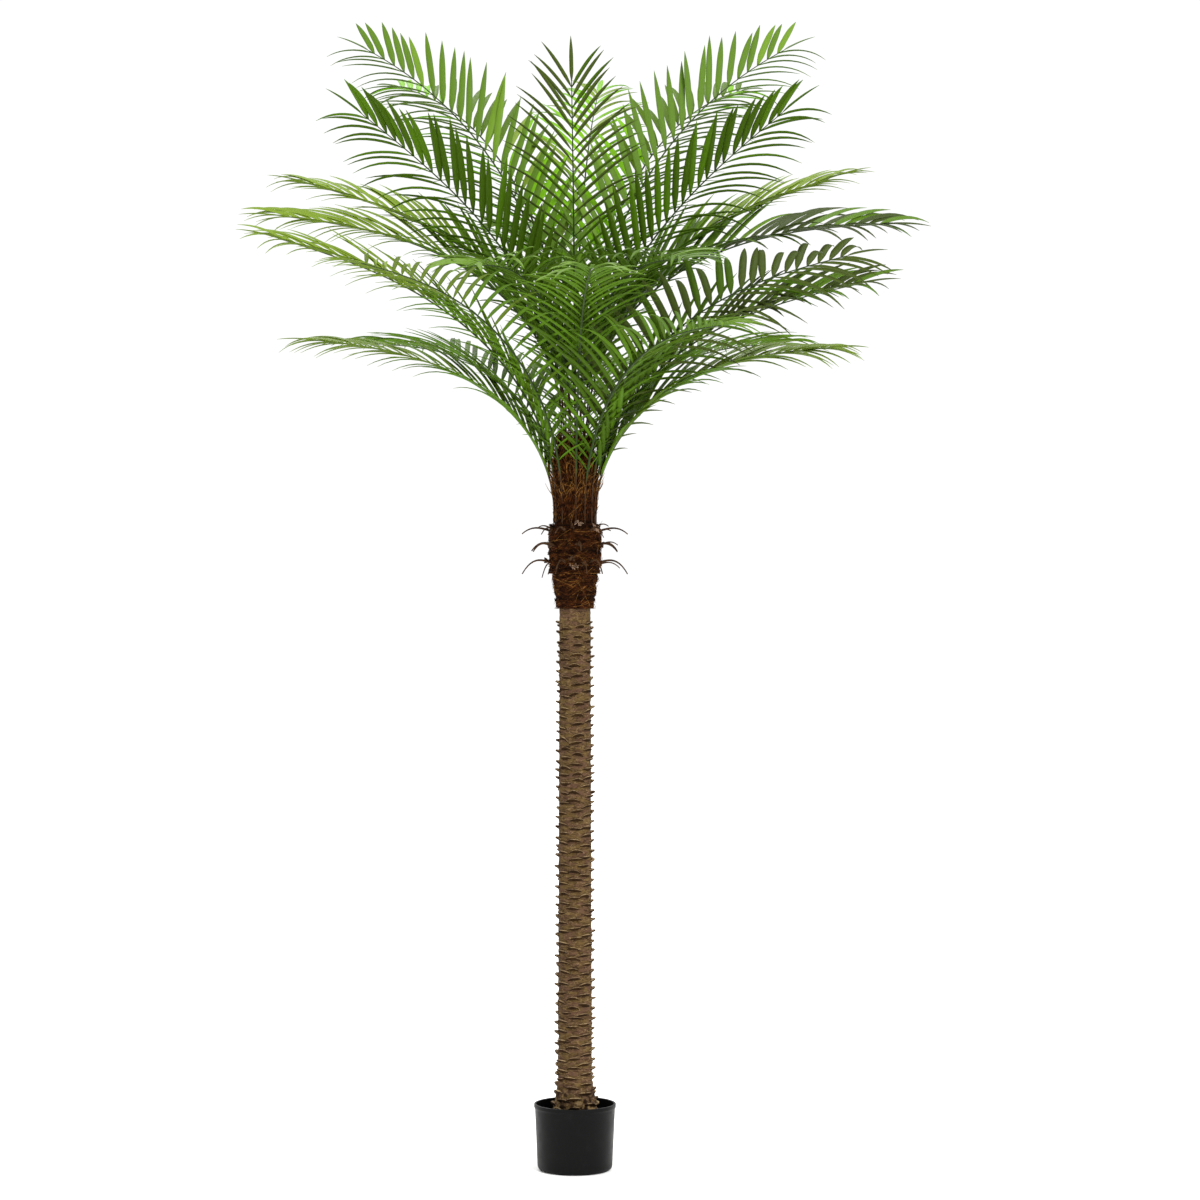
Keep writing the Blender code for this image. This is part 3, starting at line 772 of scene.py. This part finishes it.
chance = random.Random(31)
twig_paths = []
twig_nodes = []
for row, (height, number, first_facet, droop) in enumerate(TWIG_TIERS, start=1):
    for i in range(number):
        angle = (first_facet + i * FACETS // number + 0.5) * math.tau / FACETS
        length = TWIG_REACH * (1 - TWIG_SHORTER * (i % 3))
        twig_paths.append((twig_line(height, angle, length, droop, 1), 0))
        if chance.random() < SIDE_TWIG_SHARE:
            side_height = height + chance.uniform(-0.008, 0.012)
            side_angle = angle + chance.choice((-1, 1)) * SIDE_TWIG_TURN
            side_length = length * chance.uniform(0.45, 0.9)
            side_droop = droop * chance.uniform(0.2, 1.1)
            side_twig = twig_line(side_height, side_angle, side_length, side_droop, SIDE_TWIG_THICKNESS)
            twig_paths.append((side_twig, 0))
        root = twig_paths[-1][0][3][0]
        outward = around(1, angle, 0)
        sideways = UP.cross(outward)
        pale = 1 if chance.random() < PALE_FAN_SHARE else 0
        for _ in range(FAN_PRONGS * (1 + pale)):
            spread = sideways * chance.uniform(-1, 1) + UP * chance.uniform(-0.8, 0.6)
            spread += outward * chance.uniform(0.1, 0.5)
            tip = root + spread.normalized() * FAN_LENGTH * chance.uniform(0.6, 1.2) * (1 + 0.4 * pale)
            prong = [(root - outward * 0.003, 1.1), (root.lerp(tip, 0.6), 1.0), (tip, 0.3)]
            twig_paths.append((prong, pale))
        twig_nodes.append(f"twig_{row}_{i + 1}")

for height, angle in CUT_STUBS:
    outward = around(1, math.radians(angle), 0)
    sideways = UP.cross(outward)
    for _ in range(STUB_SPLINTERS):
        root = outward * wrap_radius("main_sleeve", height) + UP * height
        root += UP * chance.uniform(-0.005, 0.005) + sideways * chance.uniform(-0.009, 0.009)
        tip = root + sideways * chance.uniform(-0.006, 0.006) + UP * chance.uniform(-0.005, 0.005)
        tip += outward * chance.uniform(0.003, 0.008)
        splinter = [(root - outward * 0.004, 0.6), (root.lerp(tip, 0.5), 0.6), (tip, 0.3)]
        twig_paths.append((splinter, 1))

twigs = bmesh.new()
tubes("twig_lines", twig_paths, TWIG_RADIUS, 1, twigs)
# The stalks are dark and dull, and the torn bark at their roots is pale enough to catch the light
twig_finishes = (fibre_finish("dark cut stalk", "#3a281a", 0.8),
                 fibre_finish("split pale bark", "#76604f", 0.8))
make_piece("cut_twigs", twigs, "twig", twig_nodes, *twig_finishes, sharp=60)


# Fronds
# Each frond is a steel wire rib moulded over with dark green plastic, and two rows of leaflets cut
# from dyed polyester cloth: a short stalk, a rounded shoulder and a long pointed blade, pressed into
# a shallow fold. The ribs bend out from upright, and each leaflet keeps its face to the sky.
BEND_STEPS = 240
STRAIGHT_SHARE = 0.04
RIB_RADIUS = 0.0036
RIB_TIP = 0.34
PETIOLE_FOOT = 0.38     # share of its thickness that the rib has at its very foot
PETIOLE_SWELL = 2.5     # how fast it swells from there
CLINGING_REACH = (0.064, 0.076)  # distance from the axis where the wrap's fibre lets go of the ribs
RIB_STRIDE = 6          # bend steps between two rings of the rib
PETIOLE_SHARE = 0.13    # share of the rib below its leaflets
PAIRS = 29
FIRST_PAIR = 0.15
LAST_PAIR = 0.985
BLADE_LENGTH = 0.250
LONGEST_PAIR = 0.40
WIDEST_PAIR = 0.30
LENGTH_FALL = 1.25
BASE_SHARE = 0.50       # share of its length that a leaflet of the first pair keeps
BASE_GROWTH = 2.2
BLADE_STEPS = 9
STALK_SHARE = 0.06      # share of a leaflet's length that is its stalk
STALK_WIDTH = 0.07      # half the width of the stalk, as a share of the blade's full width
SHOULDER_FROM = 0.03
SHOULDER_OVER = 0.15
POINT_FROM = 0.48       # share of its length where a leaflet starts to narrow to its point
POINT_CURVE = 2.1
BLADE_FOLD = 0.42       # depth of the fold, as a share of half the width
BLADE_CLOTH = 0.0006
BLADE_DROOP = 34        # degrees that a level blade's tip hangs below its root
SWEEP_FALL = 0.8
END_SHARE = 0.85        # length of the leaflet that ends the rib, as a share of the last pair's
END_DROOP = 12
SKYWARD = 10            # how strongly leaflets on a steep rib turn their faces to the sky
LAY = 2.5               # degrees by which a leaflet strays from the rule
STEM_CLEARANCE = 0.057  # no leaflet runs through the fibre nearer the axis than this
VEINS_ACROSS = 14.324   # pressed veins across one leaflet; a wave node has 20 / tau of them to a unit
HANDLED_MM = 41.67      # size of the patches that handling left duller or glossier

# Shades of leaflet, each with its upper face and its lower face. Each leaflet has its frond's shade,
# one for the inner and one for the outer leaflets, or now and then the shade before it in this list.
# The lower faces are mostly darker, partly the cloth's own two tones and partly painted shade on the
# undersides
SHADES = {
    "lime": ("#718a2a", "#566c18"),
    # This shade is painted light: the glow of backlit leaflets that light shines through
    "vivid_painted_backlight": ("#6fa80a", "#639a08"),
    "bright": ("#496504", "#435d05"),
    "fresh": ("#638424", "#4a6c0e"),
    "deep": ("#52711e", "#3e590c"),
    "olive": ("#3a471b", "#42501c"),
}
STRAY_SHADE = 0.22      # share of leaflets with the shade before their frond's
OUTER_SHADE = 0.50      # share of the rib where the outer shade starts

# Tiers of fronds: radius and height of the ring that their feet stand on, how early the ribs bend,
# whether the feet are spaced evenly or each under its own heading, and a row for each frond:
# heading (degrees from +X), length, slope at its tip, sweep of its leaflets from the rib, their
# lift, roll about the rib, width in millimetres, shades of its inner and outer leaflets
main_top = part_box("main_sleeve")[1].z
TIERS = {
    "top": (0.0180, trunk_top, 1.1, True, (
        (32, 1.32, 28, 44, 16, 44, 17.0, "deep", "deep"),
        (55, 1.39, 15, 44, 10, 22, 18.0, "vivid_painted_backlight", "bright"),
        (84, 1.22, 30, 50, 12, 6, 18.0, "vivid_painted_backlight", "vivid_painted_backlight"),
        (128, 1.40, 15, 44, 10, -22, 18.0, "vivid_painted_backlight", "bright"),
        (148, 1.32, 28, 44, 16, -44, 17.0, "deep", "deep"),
        (268, 0.92, 66, 50, 4, 0, 12.0, "deep", "olive"),
    )),
    "middle": (0.0360, trunk_top, 1.8, True, (
        (8, 1.03, 20, 30, 20, 18, 13.5, "fresh", "lime"),
        (104, 1.10, 10, 48, 24, 0, 15.0, "vivid_painted_backlight", "bright"),
        (172, 1.05, 17, 30, 20, -18, 13.5, "fresh", "lime"),
        (192, 1.02, 6, 28, 22, -26, 12.5, "fresh", "lime"),
        (205, 1.02, 34, 44, 4, 30, 17.0, "deep", "deep"),
        (250, 0.90, -8, 48, 24, 0, 11.0, "deep", "fresh"),
        (292, 0.90, -6, 48, 24, 0, 11.0, "deep", "deep"),
        (335, 1.02, 35, 44, 4, -30, 17.0, "deep", "deep"),
        (347, 1.07, 1, 46, 22, 22, 18.5, "deep", "olive"),
    )),
    "low": (0.0550, main_top, 1.8, False, (
        (0, 0.84, 6, 36, 10, 14, 17.0, "fresh", "lime"),
        (40, 0.95, 5, 48, 22, 0, 14.0, "fresh", "fresh"),
        (78, 0.95, 1, 48, 22, 0, 14.0, "bright", "fresh"),
        (140, 0.95, 5, 48, 22, 0, 14.0, "fresh", "fresh"),
        (180, 0.86, 7, 36, 10, -14, 12.0, "fresh", "lime"),
        (208, 1.14, 13, 30, 24, -24, 12.5, "fresh", "lime"),
        (234, 1.12, 5, 62, 18, 0, 11.5, "fresh", "lime"),
        (273, 1.12, 2, 48, 20, 0, 11.0, "deep", "fresh"),
        (298, 0.95, -1, 48, 24, 0, 11.5, "deep", "fresh"),
        (322, 1.13, 8, 58, 6, -20, 19.0, "olive", "olive"),
        (339, 1.02, 10, 42, 26, 24, 18.0, "deep", "olive"),
    )),
}


def rib_line(heading, length, tip_slope, ring, foot, bend, foot_angle):
    """Places and directions along a rib, which bends from upright to the slope of its tip."""
    place = around(ring, foot_angle, foot)
    outward = around(1, heading, 0)
    line = []
    for i in range(BEND_STEPS + 1):
        bent = max(0, i / BEND_STEPS - STRAIGHT_SHARE) / (1 - STRAIGHT_SHARE)
        slope = math.radians(90 + (tip_slope - 90) * (1 - (1 - bent) ** bend))
        direction = outward * math.cos(slope) + UP * math.sin(slope)
        line.append((place.copy(), direction))
        place += direction * length / BEND_STEPS
    return line


def blade_half_width(share, width):
    """Half a leaflet's width at a share of its length: stalk, rounded shoulder, strap, long point."""
    if share < STALK_SHARE:
        return width * STALK_WIDTH
    shoulder = min(1, (share - SHOULDER_FROM) / SHOULDER_OVER) ** 0.6
    point = max(0.01, 1 - (max(0, share - POINT_FROM) / (1 - POINT_FROM)) ** POINT_CURVE)
    return width / 2 * shoulder * point


def add_leaflet(bm, uv, root, direction, facing, length, width, droop, shade):
    """Lays one leaflet from its root, unless it would run through the stem. A level one droops most."""
    across = direction.cross(facing).normalized()
    normal = across.cross(direction)
    spine = [root]
    for i in range(BLADE_STEPS):
        sag = math.tan(droop) * direction.xy.length_squared * ((i + 0.5) / BLADE_STEPS) ** 1.5
        way = (direction - UP * sag).normalized()
        spine.append(spine[-1] + way * length / BLADE_STEPS)
    if any(p.xy.length < STEM_CLEARANCE and p.z < trunk_top for p in spine):
        return
    grid = bmesh.ops.create_grid(bm, x_segments=2, y_segments=BLADE_STEPS, size=0.5)["verts"]
    for face in {face for vert in grid for face in vert.link_faces}:
        face.material_index = 2 * shade
        for loop in face.loops:
            loop[uv].uv = (loop.vert.co.x + 0.5, loop.vert.co.y + 0.5)
    for vert in grid:
        side = 2 * vert.co.x
        share = vert.co.y + 0.5
        half = blade_half_width(share, width) * min(1, 0.35 + length / BLADE_LENGTH)
        fold = normal * abs(side) * half * BLADE_FOLD
        vert.co = spine[round(share * BLADE_STEPS)] + across * side * half + fold


def grow_frond(line, heading, sweep, lift, roll, width, inner, outer, bm, uv, ribs, chance):
    """Adds a frond's rib to the ribs' paths and its two rows of leaflets to the blades."""
    side = UP.cross(around(1, heading, 0))
    petiole = round(PETIOLE_SHARE * BEND_STEPS)
    for first, last, number in ((0, petiole, 1), (petiole, BEND_STEPS, 0)):
        points = []
        for i in list(range(first, last, RIB_STRIDE)) + [last]:
            tapered = 1 - (1 - RIB_TIP) * i / BEND_STEPS
            swelling = PETIOLE_FOOT + PETIOLE_SWELL * i / BEND_STEPS
            points.append((line[i][0], min(tapered, swelling)))
        ribs.append((points, number))
    for pair in range(PAIRS):
        along = pair / (PAIRS - 1)
        place, direction = line[round((FIRST_PAIR + (LAST_PAIR - FIRST_PAIR) * along) * BEND_STEPS)]
        upper = direction.cross(side)
        for hand in (1, -1):
            swept = sweep * (1 - SWEEP_FALL * (along - WIDEST_PAIR) ** 2) + chance.gauss(0, LAY)
            swept = math.radians(swept)
            tilt = math.radians(lift + hand * roll + chance.gauss(0, LAY))
            blade_length = BLADE_LENGTH * (1 - LENGTH_FALL * (along - LONGEST_PAIR) ** 2)
            blade_length *= chance.uniform(0.92, 1.03) * min(1, BASE_SHARE + BASE_GROWTH * along)
            out = side * hand * math.cos(tilt) + upper * math.sin(tilt)
            facing = upper * math.cos(tilt) - side * hand * math.sin(tilt)
            blade = direction * math.cos(swept) + out * math.sin(swept)
            facing += UP * SKYWARD * max(0, direction.z) ** 2 * (1 - blade.z)
            root = place + side * hand * RIB_RADIUS * 0.5 * (1 - (1 - RIB_TIP) * along)
            droop = math.radians(BLADE_DROOP * chance.uniform(0.7, 1.35))
            shade = inner if along + chance.gauss(0, 0.08) < OUTER_SHADE else outer
            if chance.random() < STRAY_SHADE:
                shade = max(shade - 1, 0)
            add_leaflet(bm, uv, root, blade, facing, blade_length, width, droop, shade)
    tip, onward = line[-1]
    end_length = BLADE_LENGTH * (1 - LENGTH_FALL * (1 - LONGEST_PAIR) ** 2) * END_SHARE
    add_leaflet(bm, uv, tip, onward, onward.cross(side), end_length, width,
                math.radians(END_DROOP), outer)


def leaf_finish(name, colour, roughness, shine):
    """Dyed, waxed polyester cloth: a soft gloss, and pressed veins that run along the blade."""
    material, tree, shader = finish_named(name, colour, roughness, Specular_IOR_Level=shine)
    coordinates = add_node(tree, "TexCoord", {})
    veins = add_node(tree, "TexWave", {"Vector": coordinates.outputs["UV"],
                                       "Scale": VEINS_ACROSS * math.tau / 20, "Distortion": 0.4,
                                       "Detail": 1}, bands_direction="X")
    handled = add_node(tree, "TexNoise", {"Vector": coordinates.outputs["Object"],
                                          "Scale": 1000 / HANDLED_MM, "Detail": 3})
    gloss = add_node(tree, "MapRange", {"Value": handled.outputs["Fac"],
                                        "From Min": 0.3, "From Max": 0.7,
                                        "To Min": roughness - 0.08, "To Max": roughness + 0.12})
    bump = add_node(tree, "Bump", {"Height": veins.outputs["Fac"], "Strength": 0.35, "Distance": 0.0005})
    tree.links.new(gloss.outputs[0], shader.inputs["Roughness"])
    tree.links.new(bump.outputs["Normal"], shader.inputs["Normal"])
    return material


# The upper face shines a little more than the underside, and both less than the ribs' plastic
leaf_finishes = []
for shade, (upper_colour, lower_colour_with_painted_shade) in SHADES.items():
    leaf_finishes.append(leaf_finish(f"{shade} dyed leaf", upper_colour, 0.42, 0.10))
    # The underside colour is partly the cloth's own and partly painted shade
    leaf_finishes.append(leaf_finish(f"{shade} leaf underside with painted shade", lower_colour_with_painted_shade, 0.5, 0.06))
rib_finishes = (leaf_finish("dark green plastic rib", "#26380f", 0.45, 0.15),
                leaf_finish("green plastic petiole", "#4a6320", 0.45, 0.15))

# Near the stem the petioles are clad in the wrap's brown fibre, and further out they are green
tree = rib_finishes[1].node_tree
coordinates = add_node(tree, "TexCoord", {})
level = add_node(tree, "Mapping", {"Vector": coordinates.outputs["Object"], "Scale": (1, 1, 0)})
reach = add_node(tree, "VectorMath", {0: level.outputs[0]}, operation="LENGTH")
clinging = add_node(tree, "MapRange", {"Value": reach.outputs["Value"], "From Min": CLINGING_REACH[1],
                                       "From Max": CLINGING_REACH[0]})
tone = add_node(tree, "Mix", {0: clinging.outputs[0], 6: linear("#4a6320"), 7: linear("#35200c")},
                data_type="RGBA")
tree.links.new(tone.outputs[2], tree.nodes["Principled BSDF"].inputs["Base Color"])

shade_names = list(SHADES)
for tier, (ring, foot, bend, even_feet, rows) in TIERS.items():
    blades = bmesh.new()
    uv = blades.loops.layers.uv.new("leaf")
    ribs = []
    chance = random.Random(len(rows) * 7)
    turn = math.tau / len(rows)
    middle = sum(math.radians(row[0]) - i * turn for i, row in enumerate(rows)) / len(rows)
    for i, (heading, length, tip_slope, sweep, lift, roll, width, inner, outer) in enumerate(rows):
        heading = math.radians(heading)
        foot_angle = middle + i * turn if even_feet else heading
        line = rib_line(heading, length, tip_slope, ring, foot, bend, foot_angle)
        inner, outer = shade_names.index(inner), shade_names.index(outer)
        grow_frond(line, heading, sweep, lift, roll, width / 1000, inner, outer, blades, uv, ribs,
                   chance)
    nodes = [f"frond_{tier}_{i + 1}" for i in range(len(rows))]
    leaflets = make_piece(f"leaflets_{tier}", blades, "leaf", nodes, *leaf_finishes, sharp=180)
    cloth = leaflets.modifiers.new("cloth", "SOLIDIFY")
    cloth.thickness = BLADE_CLOTH
    cloth.offset = -1
    cloth.material_offset = 1
    rib_mesh = bmesh.new()
    tubes("rib_lines", ribs, RIB_RADIUS, 2, rib_mesh)
    make_piece(f"ribs_{tier}", rib_mesh, "leaf", nodes, *rib_finishes, sharp=60)
